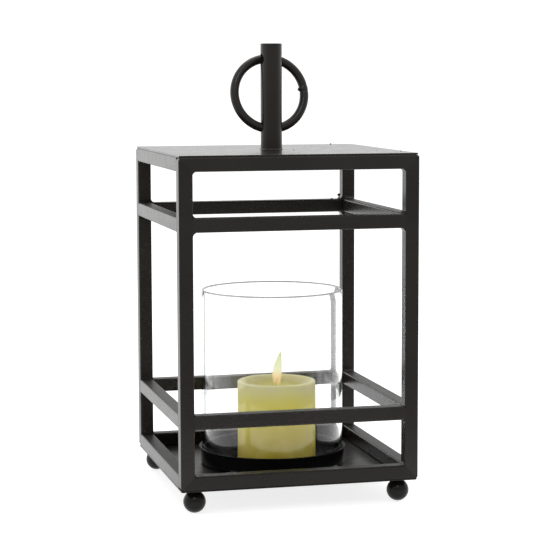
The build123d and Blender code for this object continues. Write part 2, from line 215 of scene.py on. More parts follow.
# %% Meshes into the scene
def meshed(name, build):
    """Turn a finished bmesh into a smooth-shaded object in the scene."""
    mesh = bpy.data.meshes.new(name)
    build.to_mesh(mesh)
    build.free()
    mesh.polygons.foreach_set("use_smooth", [True] * len(mesh.polygons))
    piece = bpy.data.objects.new(name, mesh)
    scene.collection.objects.link(piece)
    return piece


# %% [markdown]
# ## The studio
#
# Black paint has almost no colour of its own. What the eye reads on it is the room, mirrored
# weakly where a face is seen square on and strongly where it is seen at a glancing angle. So
# the room comes before the paint: a white floor, a bright wall of light behind the lantern and
# a dimmer room in front. The room is a world shader that fades with direction, because a world
# has no edges that could show up as odd shapes in the glass. Two soft lamps lift the floor and
# put one calm highlight on each ball foot.

# %% Fade the room from back to front
WORLD_BACK = 1.18         # brightness behind the lantern
WORLD_FRONT = 0.66        # brightness in front of it
WORLD_LEFT = 0.40         # added behind it to the left, where the side faces look

scene.view_settings.view_transform = "Standard"
world = bpy.data.worlds.new("studio")
scene.world = world
world.use_nodes = True
direction = add_node(world, "ShaderNodeTexCoord").outputs["Generated"]
to_right = along(world, direction, "X")
to_back = along(world, direction, "Y")
fade = ranged(world, to_back, -0.95, 0.35, WORLD_FRONT, WORLD_BACK, soft=True)
left_wall = ranged(world, to_right, 0.02, -0.16, 0.0, WORLD_LEFT, soft=True)
behind = ranged(world, to_back, 0.0, 0.7, 0.0, 1.0)
background = world.node_tree.nodes["Background"]
background.inputs["Color"].default_value = (1.0, 1.0, 1.0, 1.0)
plug(world, maths(world, "MULTIPLY_ADD", left_wall, behind, fade), background.inputs["Strength"])
print("room brightness, front and back:", WORLD_FRONT, WORLD_BACK)

# %% Lay the floor
FLOOR_RADIUS = 3.0
FLOOR_SIDES = 96

floor_build = bmesh.new()
bmesh.ops.create_circle(floor_build, cap_ends=True, radius=FLOOR_RADIUS, segments=FLOOR_SIDES)
floor = meshed("floor", floor_build)
print("floor radius, m:", FLOOR_RADIUS)


# %% Hang the lamps
def soft_lamp(name, place, target, size, watts):
    """A square area lamp at one place, turned to face another."""
    data = bpy.data.lights.new(name, "AREA")
    data.size = size
    data.energy = watts
    lamp = bpy.data.objects.new(name, data)
    lamp.location = place
    lamp.rotation_mode = "QUATERNION"
    lamp.rotation_quaternion = (Vector(target) - Vector(place)).to_track_quat("-Z", "Y")
    scene.collection.objects.link(lamp)


soft_lamp("lamp_over_floor", (0.1, 0.5, 2.4), target=(0.0, 0.15, 0.0), size=2.0, watts=22.0)
soft_lamp("lamp_front", (-0.55, -2.0, 2.0), target=(0.0, 0.0, 0.1), size=0.42, watts=8.0)

# %% [markdown]
# ## The floor's finish
#
# A studio floor is often a sheet of milky white plastic with a lamp below it, so that shadows
# stay faint. So the floor here is white and glows a little. A very faint cloudiness keeps it
# from looking computed, and a high roughness keeps it free of mirror images. In front of the
# lantern the floor turns grey, as if a grey card lay there. The front faces of the tubes and
# the glass mirror that part of the floor, which keeps the tubes black and the glass clear.

# %% White floor with a grey card
CARD_STARTS = -0.27       # Y in metres: the floor is white behind this line
CARD_ENDS = -2.40         # and is back at its full lightness here
FLOOR_GLOW = 0.80

floor_card, floor_shader = new_finish("floor_card")
card_clouds = grain(floor_card, 1.5, 2.0)
card_white = ramp(floor_card, card_clouds, [(0.3, 0.42, 0.42, 0.418), (0.7, 0.44, 0.44, 0.44)])
to_lantern = ranged(floor_card, along(floor_card, places(floor_card), "Y"),
                    CARD_ENDS, CARD_STARTS, 0.0, 1.0)
grey_card = ramp(floor_card, to_lantern, [(0.0, 1.0, 1.0, 1.0), (0.50, 0.85, 0.85, 0.85),
                                          (0.86, 0.40, 0.40, 0.40), (1.0, 1.0, 1.0, 1.0)])
glow_ends = ramp(floor_card, to_lantern, [(0.90, 0.0, 0.0, 0.0), (1.0, 1.0, 1.0, 1.0)])
plug(floor_card, blend_colours(floor_card, 1.0, grey_card, card_white, "MULTIPLY"),
     floor_shader.inputs["Base Color"])
plug(floor_card, glow_ends, floor_shader.inputs["Emission Color"])
floor_shader.inputs["Emission Strength"].default_value = FLOOR_GLOW
floor_shader.inputs["Roughness"].default_value = 0.9
floor_shader.inputs["Specular IOR Level"].default_value = 0.2
floor.data.materials.append(floor_card)
print("floor is white behind Y, m:", CARD_STARTS)

# %% [markdown]
# ## Satin black powder coat
#
# The cage is powder coated: black resin dust, baked until it flows. Real powder coat is never
# flat. It keeps a fine orange peel a millimetre across, its sheen drifts from patch to patch,
# and a few grains of dust are baked in. The colour is a very dark warm grey, not zero. A car
# paint with a clear layer would be too glossy, so one satin layer is used, and its index is
# kept low: square on it mirrors about 2%, and at a glancing angle it still mirrors strongly.
# That is what makes the side faces of the tubes look silver while their fronts stay black.
# Faces that look up can be made duller, because dust settles on them.

# %% Powder coat for rails, welds, ring and handle post
SATIN_INDEX = 1.36
DUST_BROWN = (0.019, 0.0175, 0.0155)
NIB_HEIGHT = 0.006 * MM   # how far baked-in dust stands up


def black_coat(name, dark, light, rough, peel=0.0012 * MM, dust=0.05, settled=0.0, index=SATIN_INDEX):
    """A baked black coat: its darkest and lightest black, its lowest and highest roughness, the
    depth of its orange peel, the size of its dust, how much rougher settled dust makes the faces
    that look up, and its index."""
    material, shader = new_finish(name)
    coat = ramp(material, grain(material, 22.0, 3.0), [(0.35, *dark), (0.65, *light)])
    few = ranged(material, grain(material, 60.0, 1.0), 0.55, 0.62, 0.0, 0.8)
    nibs = maths(material, "MULTIPLY", specks(material, 150.0, dust), few)
    plug(material, blend_colours(material, nibs, coat, DUST_BROWN), shader.inputs["Base Color"])
    sheen_patches = ranged(material, grain(material, 160.0, 2.0), 0.3, 0.7, *rough)
    facing = add_node(material, "ShaderNodeTexCoord").outputs["Normal"]
    looks_up = ranged(material, along(material, facing, "Z"), 0.6, 0.95, 0.0, settled)
    plug(material, maths(material, "ADD", sheen_patches, looks_up), shader.inputs["Roughness"])
    shader.inputs["IOR"].default_value = index
    orange_peel = relief(material, grain(material, 600.0, 1.0), peel)
    waves = relief(material, grain(material, 120.0, 1.0), peel * 2.5, over=orange_peel)
    plug(material, relief(material, nibs, NIB_HEIGHT, over=waves), shader.inputs["Normal"])
    print("coat made:", name, "index", index)
    return material


satin_black = black_coat("satin_black_coat", (0.0142, 0.0121, 0.0102), (0.0178, 0.0153, 0.0130),
                         rough=(0.25, 0.29), settled=0.20)

# %% [markdown]
# ## Coat for the top plate
#
# The top plate got the same powder, but a level sheet lets it flow out longer than a tube
# does, so it is smoother and shows clearer mirror images. Rolling left the sheet very slightly
# wavy in one direction. The same function makes this coat with smaller numbers, and one long,
# stretched noise is laid over its bumps for the rolling waves.

# %% Smoother coat for the top plate
ROLLING_DEPTH = 0.04 * MM

plate_black = black_coat("plate_black_coat", (0.0078, 0.0064, 0.0052), (0.0105, 0.0088, 0.0072),
                         rough=(0.20, 0.26), peel=0.0008 * MM, dust=0.045)
plate_normal = plate_black.node_tree.nodes["Principled BSDF"].inputs["Normal"]
coat_bumps = plate_normal.links[0].from_socket
rolling = grain(plate_black, 9.0, 1.0, stretch=(1.0, 4.0, 1.0))
plug(plate_black, relief(plate_black, rolling, ROLLING_DEPTH, over=coat_bumps), plate_normal)
print("rolling waves, mm:", round(ROLLING_DEPTH / MM, 3))

# %% [markdown]
# ## Coat for the base plate
#
# The base plate lies inside the cage, where it is never wiped. Candle soot and dust have made
# it duller than the top plate. The same function makes its coat with more roughness, and a
# lower index takes the last of the shine off it.

# %% Dull coat for the base plate
dusty_black = black_coat("base_plate_coat", (0.0078, 0.0062, 0.0048), (0.0120, 0.0096, 0.0074),
                         rough=(0.30, 0.38), index=1.26)

# %% [markdown]
# ## Coats for the posts and the base ring
#
# The posts stood upright in the oven, so the resin ran a little and set duller than on the
# rails. The base ring is painted blacker than the rest of the cage, as painted shade for the
# bottom of the cage. Both mirror less than the rails: their side faces look grey where the
# rails' look silver. One lower index, used for both, does that.

# %% Coats for the posts and the base ring
DULL_INDEX = 1.30

post_black = black_coat("post_coat", (0.0165, 0.0140, 0.0120), (0.0205, 0.0178, 0.0152),
                        rough=(0.25, 0.29), settled=0.20, index=DULL_INDEX)
# The base ring's darker pair of blacks is painted shade.
shaded_base_black = black_coat("base_ring_coat", (0.0078, 0.0066, 0.0056), (0.0104, 0.0090, 0.0076),
                        rough=(0.24, 0.28), settled=0.20, index=DULL_INDEX)

# %% [markdown]
# ## Coat for the feet
#
# The cast skin of the feet gives their powder a deeper orange peel. Their coat is painted
# blacker than the rest of the lantern, as painted shade low down by the floor, and it mirrors
# less than the tubes. The same function makes their coat, with a darker pair of blacks.

# %% Blackest coat, for the feet
# The feet's darker pair of blacks is painted shade.
shaded_foot_black = black_coat("foot_coat", (0.0052, 0.0046, 0.0040), (0.0072, 0.0062, 0.0052),
                        rough=(0.20, 0.28), peel=0.0015 * MM, index=1.27)

# %% [markdown]
# ## Dressing the cage
#
# The carried-over steel parts keep their exact meshes. Only their material slot changes. Welds
# get the tube's coat too, because the powder goes on after the welding.

# %% Assign the coats to the CAD parts
own_coats = {"top_plate": plate_black, "base_plate": dusty_black, "base_ring_welds": shaded_base_black}
own_coats.update({"base_rail_" + side: shaded_base_black for side in ("front", "back", "left", "right")})
own_coats.update({name: post_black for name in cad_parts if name.startswith("corner_post_")})
for node_name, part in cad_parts.items():
    part.data.materials.clear()
    part.data.materials.append(own_coats.get(node_name, satin_black))
print("coated CAD parts:", len(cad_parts))

# %% [markdown]
# ## Turning round parts
#
# Feet, dish, glass, candle and weld collars are all bodies of revolution, as if turned on a
# lathe. Blender's Screw modifier could spin a profile, but a small function of our own is
# better here: it can nudge each point as it goes round, so that wax sags, glass ripples and a
# weld bead gets its scales. A profile is a list of (radius, height) pairs. A radius of zero
# makes a single point on the axis. The skin between two rings of points is a function of its
# own, because the wick and the flame need it too.

# %% Skin and lathe
def bridge(build, rings, closed=False):
    """Faces between neighbouring rings of points. A ring of one point makes a fan."""
    pairs = list(zip(rings, rings[1:]))
    if closed:
        pairs.append((rings[-1], rings[0]))
    for lower, upper in pairs:
        sides = max(len(lower), len(upper))
        for step in range(sides):
            after = (step + 1) % sides
            corners = [lower[step % len(lower)], lower[after % len(lower)],
                       upper[after % len(upper)], upper[step % len(upper)]]
            corners = list(dict.fromkeys(corners))
            if len(corners) > 2:
                build.faces.new(corners)


def turned(name, profile, sides, nudge, centre=(0.0, 0.0), closed=False):
    """Spin a profile round an upright axis. nudge(angle, index, radius, height) moves a point."""
    build = bmesh.new()
    rings = []
    for index, (radius, height) in enumerate(profile):
        if radius <= 0.0:
            rings.append([build.verts.new((centre[0], centre[1], height))])
            continue
        ring = []
        for step in range(sides):
            angle = 2.0 * math.pi * step / sides
            r, z = nudge(angle, index, radius, height)
            ring.append(build.verts.new((centre[0] + r * math.cos(angle),
                                         centre[1] + r * math.sin(angle), z)))
        rings.append(ring)
    bridge(build, rings, closed)
    bmesh.ops.recalc_face_normals(build, faces=build.faces)
    return meshed(name, build)


def arc(centre_r, centre_z, radius, start, end, steps):
    """Points on a round of a profile, from one angle to another in degrees."""
    points = []
    for step in range(steps + 1):
        angle = math.radians(start + (end - start) * step / steps)
        points.append((centre_r + radius * math.cos(angle), centre_z + radius * math.sin(angle)))
    return points


# %% Seat a piece, and roughen it
def seat(piece, body, slot, finish, *replaced):
    """Give a piece its finish and let it ride on a body for CAD nodes. The slot is not used."""
    piece.data.materials.append(finish)
    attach(piece, body)
    if replaced:
        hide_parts(*replaced)
    return piece


def ripple(point, scale, seed):
    """Smooth noise from about -1 to 1 at a point given in metres."""
    return noise.noise(Vector(point) * scale + Vector((seed, seed * 0.37, seed * 0.71)))


# %% [markdown]
# ## Ball feet
#
# Each foot is a solid steel ball on a short neck, welded under the base plate. The ball is not
# a perfect sphere once it is coated: the powder is thickest at the bottom, where it ran before
# it set. The weld is a fat, uneven collar. Ball and collar are turned as one profile, so that
# the powder seems to flow over the joint without a gap.

# %% Turn the four feet
BALL_SIDES = 72
PLATE_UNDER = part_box("base_plate")[0].z
NECK_R = 4.5 * MM
BEAD_R = 2.3 * MM         # the round of the weld's fillet
BEAD_OUT = 3.0 * MM       # how far outside the neck its centre lies
COLLAR_TALL = 2.2 * MM
BALL_SWELL = 0.03 * MM    # how uneven the coated ball is
COLLAR_SWELL = 0.45 * MM  # and the weld

for corner in ("front_left", "front_right", "back_left", "back_right"):
    low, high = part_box("ball_foot_" + corner)
    middle = (low + high) / 2
    ball_r = (high.x - low.x) / 2
    neck_end = math.degrees(math.acos(NECK_R / ball_r))
    foot_profile = [(0.0, 0.0)]
    foot_profile += arc(0.0, ball_r, ball_r, -88.0, neck_end - 4.0, 40)
    foot_profile += arc(NECK_R + BEAD_OUT, PLATE_UNDER - 0.1 * MM, BEAD_R, 200.0, 165.0, 3)
    foot_profile += [(NECK_R + 2.6 * MM, PLATE_UNDER), (0.0, PLATE_UNDER)]
    seed = 3.0 + len(corner) + middle.x * 90.0

    def foot_skin(angle, index, radius, height, seed=seed):
        """Uneven weld near the plate, and a barely uneven ball."""
        collar = max(0.0, (height - (PLATE_UNDER - COLLAR_TALL)) / COLLAR_TALL)
        spot = (math.cos(angle) * radius, math.sin(angle) * radius, height)
        swell = BALL_SWELL * ripple(spot, 180.0, seed)
        return radius + swell + COLLAR_SWELL * collar * ripple(spot, 420.0, seed), height

    foot = turned("ball_foot_" + corner + "_cast", foot_profile, BALL_SIDES, nudge=foot_skin,
                  centre=(middle.x, middle.y))
    seat(foot, "frame", "frame_black", shaded_foot_black, "ball_foot_" + corner)
    print("foot", corner, "radius, mm:", round(ball_r / MM, 2))
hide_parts("foot_welds", "ball_foot_back_right")

# %% [markdown]
# ## The lifting ring
#
# The ring is a round bar bent into a circle, passed through the hole in the post, and closed
# with a butt weld. The blacksmith ground the weld on the outside only, so a small nub is left
# on the inside. A plain torus would miss that, and would be too perfect: a bent bar is a
# little flatter here and there. The ring is turned flat, nudged, and then set into its
# leaning place, which is worked out from the ring's own box in the CAD frame.

# %% Measure the ring
RING_BAR_R = 4.0 * MM
ring_low, ring_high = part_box("handle_ring")
ring_middle = (ring_low + ring_high) / 2
ring_r = (ring_high.x - ring_low.x) / 2 - RING_BAR_R
ring_lean = math.asin(((ring_high.y - ring_low.y) / 2 - RING_BAR_R) / ring_r)
nub_low, nub_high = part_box("ring_weld")
nub = (nub_low + nub_high) / 2 - ring_middle
nub_angle = math.atan2(nub.z / math.cos(ring_lean), nub.x)
print("ring radius, mm:", round(ring_r / MM, 2), "lean, degrees:", round(math.degrees(ring_lean), 2))

# %% Bend, weld and hang the ring
RING_SIDES = 28           # points round the bar
RING_STEPS = 288          # and along it
GROOVE_AT = 2.6 * MM      # the grooves' distance from the middle of the weld
GROOVE_WIDE = 1.0 * MM
BEAD_WIDE = 1.9 * MM
NUB_WIDE = 1.5 * MM
FLATS, BEAD_TALL, GROOVE_DEEP, NUB_TALL = 0.012, 0.010, 0.045, 0.42    # shares of the bar's radius


def ring_skin(angle, index, radius, height):
    """The bar's slight flats, a shallow groove each side of the weld, and the nub inside."""
    across = math.atan2(height, radius - ring_r)
    away = (angle - nub_angle + math.pi) % (2.0 * math.pi) - math.pi
    along_bar = away * ring_r
    spot = (math.cos(angle) * ring_r, math.sin(angle) * ring_r, across * 0.004)
    thickness = 1.0 + FLATS * ripple(spot, 60.0, 5.0)
    groove = math.exp(-((abs(along_bar) - GROOVE_AT) / GROOVE_WIDE) ** 2)
    bead = math.exp(-(along_bar / BEAD_WIDE) ** 2)
    thickness += BEAD_TALL * bead - GROOVE_DEEP * groove
    inside = max(0.0, -math.cos(across)) ** 3
    lump = 1.0 + 0.25 * ripple((along_bar, across * 0.002, 0.0), 900.0, 2.0)
    thickness += NUB_TALL * inside * lump * math.exp(-(along_bar / NUB_WIDE) ** 2)
    return ring_r + (radius - ring_r) * thickness, height * thickness


ring_profile = arc(ring_r, 0.0, RING_BAR_R * 0.985, 0.0, 360.0 - 360.0 / RING_SIDES, RING_SIDES - 1)
ring = turned("lifting_ring", ring_profile, RING_STEPS, nudge=ring_skin, closed=True)
ring_set = (Matrix.Translation(ring_middle) @ Matrix.Rotation(-ring_lean, 4, "X")
            @ Matrix.Rotation(math.pi / 2, 4, "X"))
ring.data.transform(ring_set)
seat(ring, "ring", "frame_black", satin_black, "handle_ring", "ring_weld")

# %% [markdown]
# ## The weld round the post
#
# A weld bead is a row of overlapping puddles, like a stack of coins pushed over. From a metre
# away it only reads as a soft, uneven fillet that catches a little light. It is turned as a
# hollow fillet whose surface is pushed in and out in step with the coins. One puddle too many
# was left at the front, as happens where a weld starts and stops.

# %% Lay the post weld
weld_low, weld_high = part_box("handle_weld")
post_low, post_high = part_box("handle_post")
POST_R = (post_high.x - post_low.x) / 2
FILLET_SHARE = 0.55       # how much of the weld's box the fillet fills
weld_reach = FILLET_SHARE * ((weld_high.x - weld_low.x) / 2 - POST_R)
weld_rise = FILLET_SHARE * (weld_high.z - weld_low.z)
PUDDLES = 26
START_ANGLE = -1.75       # radians, near the front of the post
COIN_TALL = 0.08 * MM
WANDER = 0.15 * MM
LUMP_TALL = 0.45 * MM
LUMP_WIDE = 0.22          # radians
WELD_ROOT = 0.3 * MM      # how far the weld reaches into the post


def weld_skin(angle, index, radius, height):
    """Coins along the bead, and a lump where it starts."""
    open_face = 1.0 if 1 < index < len(weld_profile) - 2 else 0.0
    phase = angle * PUDDLES + 1.3 * math.sin(angle * 3.0)
    coin = COIN_TALL * math.sin(phase) ** 2
    wander = WANDER * math.sin(angle * 2.0 + 0.7) * math.sin(angle * 5.0)
    away = (angle - START_ANGLE + math.pi) % (2.0 * math.pi) - math.pi
    lump = LUMP_TALL * math.exp(-(away / LUMP_WIDE) ** 2)
    push = open_face * (coin + wander + lump)
    return radius + push, height + push * 0.6


weld_profile = [(POST_R - WELD_ROOT, weld_low.z), (POST_R + weld_reach, weld_low.z)]
weld_profile += arc(POST_R + weld_reach, weld_low.z + weld_rise, weld_reach, 262.0, 188.0, 9)
weld_profile += [(POST_R - WELD_ROOT, weld_low.z + weld_rise)]
post_weld = turned("post_weld_bead", weld_profile, 12 * PUDDLES, nudge=weld_skin)
seat(post_weld, "frame", "frame_black", satin_black, "handle_weld")
print("post radius, mm:", round(POST_R / MM, 2), "weld leg, mm:", round(weld_reach / MM, 2))

# %% [markdown]
# ## Gloss black for the dish
#
# The dish was coated with a glossier black, and its inside stays clean behind the glass, so it
# mirrors the glass and the candle. Its roughness is about half of the tubes', and higher on the
# folded edge, where the coat is thin and rubbed. Fine drawn lines run round it from the
# spinning of the sheet. They are made from a noise that is read by the distance from the dish's
# middle, so that every line is a circle.

# %% Dish finish
DISH_INDEX = 1.26
LIP_RUBBED = 0.38         # how much rougher the folded edge is
DRAWN_LINES = 900.0       # to the metre
LINE_DEPTH = 0.004 * MM
SHEET_WAVES = 0.03 * MM

dish_low, dish_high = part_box("candle_dish")
dish_black, dish_shader = new_finish("dish_gloss_black")
dish_clouds = grain(dish_black, 30.0, 2.0)
plug(dish_black, ramp(dish_black, dish_clouds, [(0.35, 0.0035, 0.0036, 0.0040),
                                                (0.7, 0.0062, 0.0063, 0.0070)]),
     dish_shader.inputs["Base Color"])
at_lip = ranged(dish_black, along(dish_black, places(dish_black), "Z"),
                dish_high.z - 1.6 * MM, dish_high.z - 1.1 * MM, 0.0, 1.0)
sheet_sheen = ranged(dish_black, grain(dish_black, 90.0, 2.0), 0.3, 0.7, 0.10, 0.18)
plug(dish_black, maths(dish_black, "MULTIPLY_ADD", at_lip, LIP_RUBBED, sheet_sheen),
     dish_shader.inputs["Roughness"])
dish_shader.inputs["IOR"].default_value = DISH_INDEX
print("dish black made, index", DISH_INDEX)

# %% Drawn lines round the dish
reach = add_node(dish_black, "ShaderNodeVectorMath")
reach.operation = "LENGTH"
plug(dish_black, places(dish_black, (1.0, 1.0, 0.0)), reach.inputs[0])
circles = add_node(dish_black, "ShaderNodeTexNoise")
circles.noise_dimensions = "1D"
circles.inputs["Scale"].default_value = DRAWN_LINES
plug(dish_black, reach.outputs["Value"], circles.inputs["W"])
spun = relief(dish_black, circles.outputs[0], LINE_DEPTH)
plug(dish_black, relief(dish_black, grain(dish_black, 100.0, 2.0), SHEET_WAVES, over=spun),
     dish_shader.inputs["Normal"])
print("drawn lines to the metre:", DRAWN_LINES)

# %% [markdown]
# ## The dish
#
# The dish is a round of sheet, spun into a shallow tray with its edge folded out and flattened.
# That edge is the only part that catches light. It slopes down a little to the inside and ends
# in a small round, which makes one thin, unbroken line of light with a dark edge below it. The
# rim wanders by a tenth of a millimetre, as spun sheet does.

# %% Spin the dish
rim_r = (dish_high.x - dish_low.x) / 2
SHEET = 1.0 * MM
LIP_THICK = 0.9 * MM
LIP_EDGE = 0.4 * MM       # the round of the folded edge
WALL_R = rim_r - 1.3 * MM
DISH_SIDES = 240
SWAY_SLOW, SWAY_FAST = 0.10 * MM, 0.05 * MM
dish_profile = [(0.0, dish_low.z)]
dish_profile += [(WALL_R * share, dish_low.z) for share in (0.25, 0.5, 0.75, 0.9)]
dish_profile += arc(WALL_R - 2.0 * MM, dish_low.z + 2.0 * MM, 2.0 * MM, -90.0, 0.0, 8)
dish_profile += [(WALL_R, dish_low.z + 6.0 * MM), (WALL_R, dish_high.z - LIP_THICK - 0.5 * MM)]
dish_profile += arc(WALL_R + 0.4 * MM, dish_high.z - LIP_THICK - 0.4 * MM, 0.4 * MM, 180.0, 90.0, 4)
dish_profile += arc(rim_r - LIP_EDGE, dish_high.z - LIP_EDGE, LIP_EDGE, -80.0, 100.0, 10)
dish_profile += arc(WALL_R - SHEET + 0.3 * MM, dish_high.z - 1.0 * MM, 0.3 * MM, 100.0, 180.0, 4)
dish_profile += [(WALL_R - SHEET, dish_high.z - 6.0 * MM)]
dish_profile += arc(WALL_R - SHEET - 1.0 * MM, dish_low.z + SHEET + 1.0 * MM, 1.0 * MM, 0.0, -90.0, 6)
dish_profile += [(WALL_R * share, dish_low.z + SHEET) for share in (0.9, 0.75, 0.5, 0.25)]
dish_profile += [(0.0, dish_low.z + SHEET)]


def dish_skin(angle, index, radius, height):
    """The rim wanders a little up and down."""
    share = (height - dish_low.z) / (dish_high.z - dish_low.z)
    sway = SWAY_SLOW * math.sin(angle * 2.0 + 0.4) + SWAY_FAST * math.sin(angle * 5.0 + 1.1)
    return radius, height - share * abs(sway)


dish = turned("spun_dish", dish_profile, DISH_SIDES, nudge=dish_skin)
seat(dish, "frame", "dish_black", dish_black, "candle_dish")
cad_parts["dish_tack_welds"].data.materials[0] = dish_black
print("dish rim, mm:", round(2 * rim_r / MM, 1))

# %% [markdown]
# ## Clear glass
#
# Glass is seen by what it bends and mirrors. A real wall with an outside and an inside is
# needed, because a single skin would bend light as if the whole cylinder were solid. Glass
# drawn from a furnace is never even, so the inside radius wanders slightly round the tube.
# That gives the soft grey upright streaks near the edges. A bump alone could give them too, but
# the rim would not follow it, so only faint waves are left to a bump. The top edge of the glass
# is painted grey and made less clear: painted shade for the light that enters the rim, runs a
# long way down inside the wall before it comes out, and is mostly lost. The renderer would treat
# the glass as a solid blocker for the lamps, so its shadow is turned off, and the light reaches
# the wax inside.

# %% Glass finish
GLASS_INDEX = 1.40
EDGE_CLEAR = 0.35         # how much light the ground edge lets through
DRAWN_WAVES = 0.04 * MM

glass_low, glass_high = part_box("glass_cylinder")
clear_glass, glass_shader = new_finish("clear_glass")
# The top edge is painted grey and less clear: painted shade for the light lost inside the rim.
at_edge = ranged(clear_glass, along(clear_glass, places(clear_glass), "Z"),
                 glass_high.z - 1.5 * MM, glass_high.z - 0.9 * MM, 0.0, 1.0)
plug(clear_glass, ramp(clear_glass, at_edge, [(0.0, 0.985, 0.992, 0.99), (1.0, 0.46, 0.47, 0.46)]),
     glass_shader.inputs["Base Color"])
plug(clear_glass, ranged(clear_glass, at_edge, 0.0, 1.0, 1.0, EDGE_CLEAR),
     glass_shader.inputs["Transmission Weight"])
glass_shader.inputs["IOR"].default_value = GLASS_INDEX
smear = grain(clear_glass, 14.0, 3.0, stretch=(1.0, 1.0, 0.35))
plug(clear_glass, ranged(clear_glass, smear, 0.45, 0.75, 0.0, 0.035), glass_shader.inputs["Roughness"])
drawn = grain(clear_glass, 26.0, 1.0, stretch=(1.0, 1.0, 0.2))
plug(clear_glass, relief(clear_glass, drawn, DRAWN_WAVES), glass_shader.inputs["Normal"])
print("glass made, index", GLASS_INDEX)

# %% Draw the glass cylinder
GLASS_R = (glass_high.x - glass_low.x) / 2
GLASS_WALL = 2.5 * MM
EDGE_R = 0.9 * MM         # the round of the melted edges
ROWS = 24
GLASS_SIDES = 256
WALL_SLOW, WALL_FAST = 0.16 * MM, 0.05 * MM    # how the wall wanders
outer_rows = [glass_low.z + EDGE_R + (glass_high.z - glass_low.z - 2 * EDGE_R) * row / ROWS
              for row in range(1, ROWS)]
glass_profile = arc(GLASS_R - EDGE_R, glass_low.z + EDGE_R, EDGE_R, -90.0, 0.0, 7)
glass_profile += [(GLASS_R, height) for height in outer_rows]
glass_profile += arc(GLASS_R - EDGE_R, glass_high.z - EDGE_R, EDGE_R, 0.0, 90.0, 7)
glass_profile += arc(GLASS_R - GLASS_WALL + EDGE_R, glass_high.z - EDGE_R, EDGE_R, 90.0, 180.0, 7)
glass_profile += [(GLASS_R - GLASS_WALL, height) for height in reversed(outer_rows)]
glass_profile += arc(GLASS_R - GLASS_WALL + EDGE_R, glass_low.z + EDGE_R, EDGE_R, 180.0, 270.0, 7)


def glass_skin(angle, index, radius, height):
    """The wall thickens and thins slowly round the tube. The outside stays true."""
    if radius > GLASS_R - GLASS_WALL / 2:
        return radius, height
    spot = (math.cos(angle), math.sin(angle), height * 2.0)
    return radius + WALL_SLOW * ripple(spot, 1.6, 8.0) + WALL_FAST * ripple(spot, 4.5, 1.0), height


glass = turned("glass_tube", glass_profile, GLASS_SIDES, nudge=glass_skin, closed=True)
seat(glass, "glass", "clear_glass", clear_glass, "glass_cylinder")
glass.visible_shadow = False
print("glass, mm:", round(2 * GLASS_R / MM, 1), "by", round((glass_high.z - glass_low.z) / MM, 1))

# %% [markdown]
# ## Olive wax
#
# Candle wax lets light in a few millimetres and scatters it, so its shadows are soft and its
# thin rim glows paler than its body. Subsurface scattering does this. The colour is drawn
# from the height in the candle: darker olive towards the bottom, straw yellow in the middle
# and a pale grey-green towards the rim. A slow noise mottles it, and a finer one gives the
# faint bloom that wax gets with age. The pool in the middle is still soft, so it is deeper in
# colour and wetter.

# %% Wax colour
POOL_COLOUR = (0.64, 0.58, 0.19)
POOL_FULL_R, POOL_GONE_R = 25.5 * MM, 28.5 * MM    # the pool's colour fades out between these

wax_low, wax_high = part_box("candle_wax")
WAX_RISE = wax_high.z - wax_low.z
WAX_CENTRE = ((wax_low.x + wax_high.x) / 2, (wax_low.y + wax_high.y) / 2)
olive_wax, wax_shader = new_finish("olive_wax")
height_share = ranged(olive_wax, along(olive_wax, places(olive_wax), "Z"),
                      wax_low.z, wax_high.z, 0.0, 1.0)
drift = ranged(olive_wax, grain(olive_wax, 26.0, 2.0), 0.0, 1.0, -0.10, 0.10)
wax_colour = ramp(olive_wax, maths(olive_wax, "ADD", height_share, drift),
                  [(0.00, 0.460, 0.350, 0.040), (0.30, 0.680, 0.560, 0.080),
                   (0.62, 0.810, 0.720, 0.105), (0.80, 0.780, 0.710, 0.175),
                   (0.97, 0.700, 0.670, 0.380)])
mottle = ranged(olive_wax, grain(olive_wax, 70.0, 4.0, swirl=0.6), 0.35, 0.7, 0.0, 0.35)
wax_colour = blend_colours(olive_wax, mottle, wax_colour, (0.80, 0.71, 0.26))
from_axis = add_node(olive_wax, "ShaderNodeVectorMath")
from_axis.operation = "DISTANCE"
plug(olive_wax, places(olive_wax, (1.0, 1.0, 0.0)), from_axis.inputs[0])
from_axis.inputs[1].default_value = (*WAX_CENTRE, 0.0)
in_pool = ranged(olive_wax, from_axis.outputs["Value"], POOL_GONE_R, POOL_FULL_R, 0.0, 1.0)
plug(olive_wax, blend_colours(olive_wax, in_pool, wax_colour, POOL_COLOUR),
     wax_shader.inputs["Base Color"])
print("wax height, mm:", round(WAX_RISE / MM, 1))

# %% Wax gloss, glow and dents
WAX_INDEX = 1.44
POOL_WET = -0.24          # how much less rough the pool is
GLOW_SHARE = 0.55         # the share of the light that goes under the skin
GLOW_REACH = 6.0 * MM     # and how far red light gets there
DENT_DEPTH = 0.25 * MM
BLOOM_DEPTH = 0.03 * MM

bloom = ranged(olive_wax, grain(olive_wax, 120.0, 3.0), 0.3, 0.7, 0.34, 0.52)
plug(olive_wax, maths(olive_wax, "MULTIPLY_ADD", in_pool, POOL_WET, bloom),
     wax_shader.inputs["Roughness"])
wax_shader.inputs["IOR"].default_value = WAX_INDEX
wax_shader.inputs["Subsurface Weight"].default_value = GLOW_SHARE
wax_shader.inputs["Subsurface Radius"].default_value = (1.0, 0.8, 0.25)
wax_shader.inputs["Subsurface Scale"].default_value = GLOW_REACH
wax_dents = relief(olive_wax, grain(olive_wax, 55.0, 2.0), DENT_DEPTH)
plug(olive_wax, relief(olive_wax, grain(olive_wax, 420.0, 3.0), BLOOM_DEPTH, over=wax_dents),
     wax_shader.inputs["Normal"])
print("light reaches into the wax, mm:", round(GLOW_REACH / MM, 1))

# %% [markdown]
# ## The pillar of wax
#
# The candle has burnt for an hour or two. Its rim stands as a soft wall round a shallow pool.
# The rim has sunk unevenly, and the wall leans in towards the pool. The pillar is turned from
# one profile with many points, and a slow noise moves the rim up and down and the wall in and
# out. The outside only ever moves inwards, so the candle fits the CAD solid that it replaces.

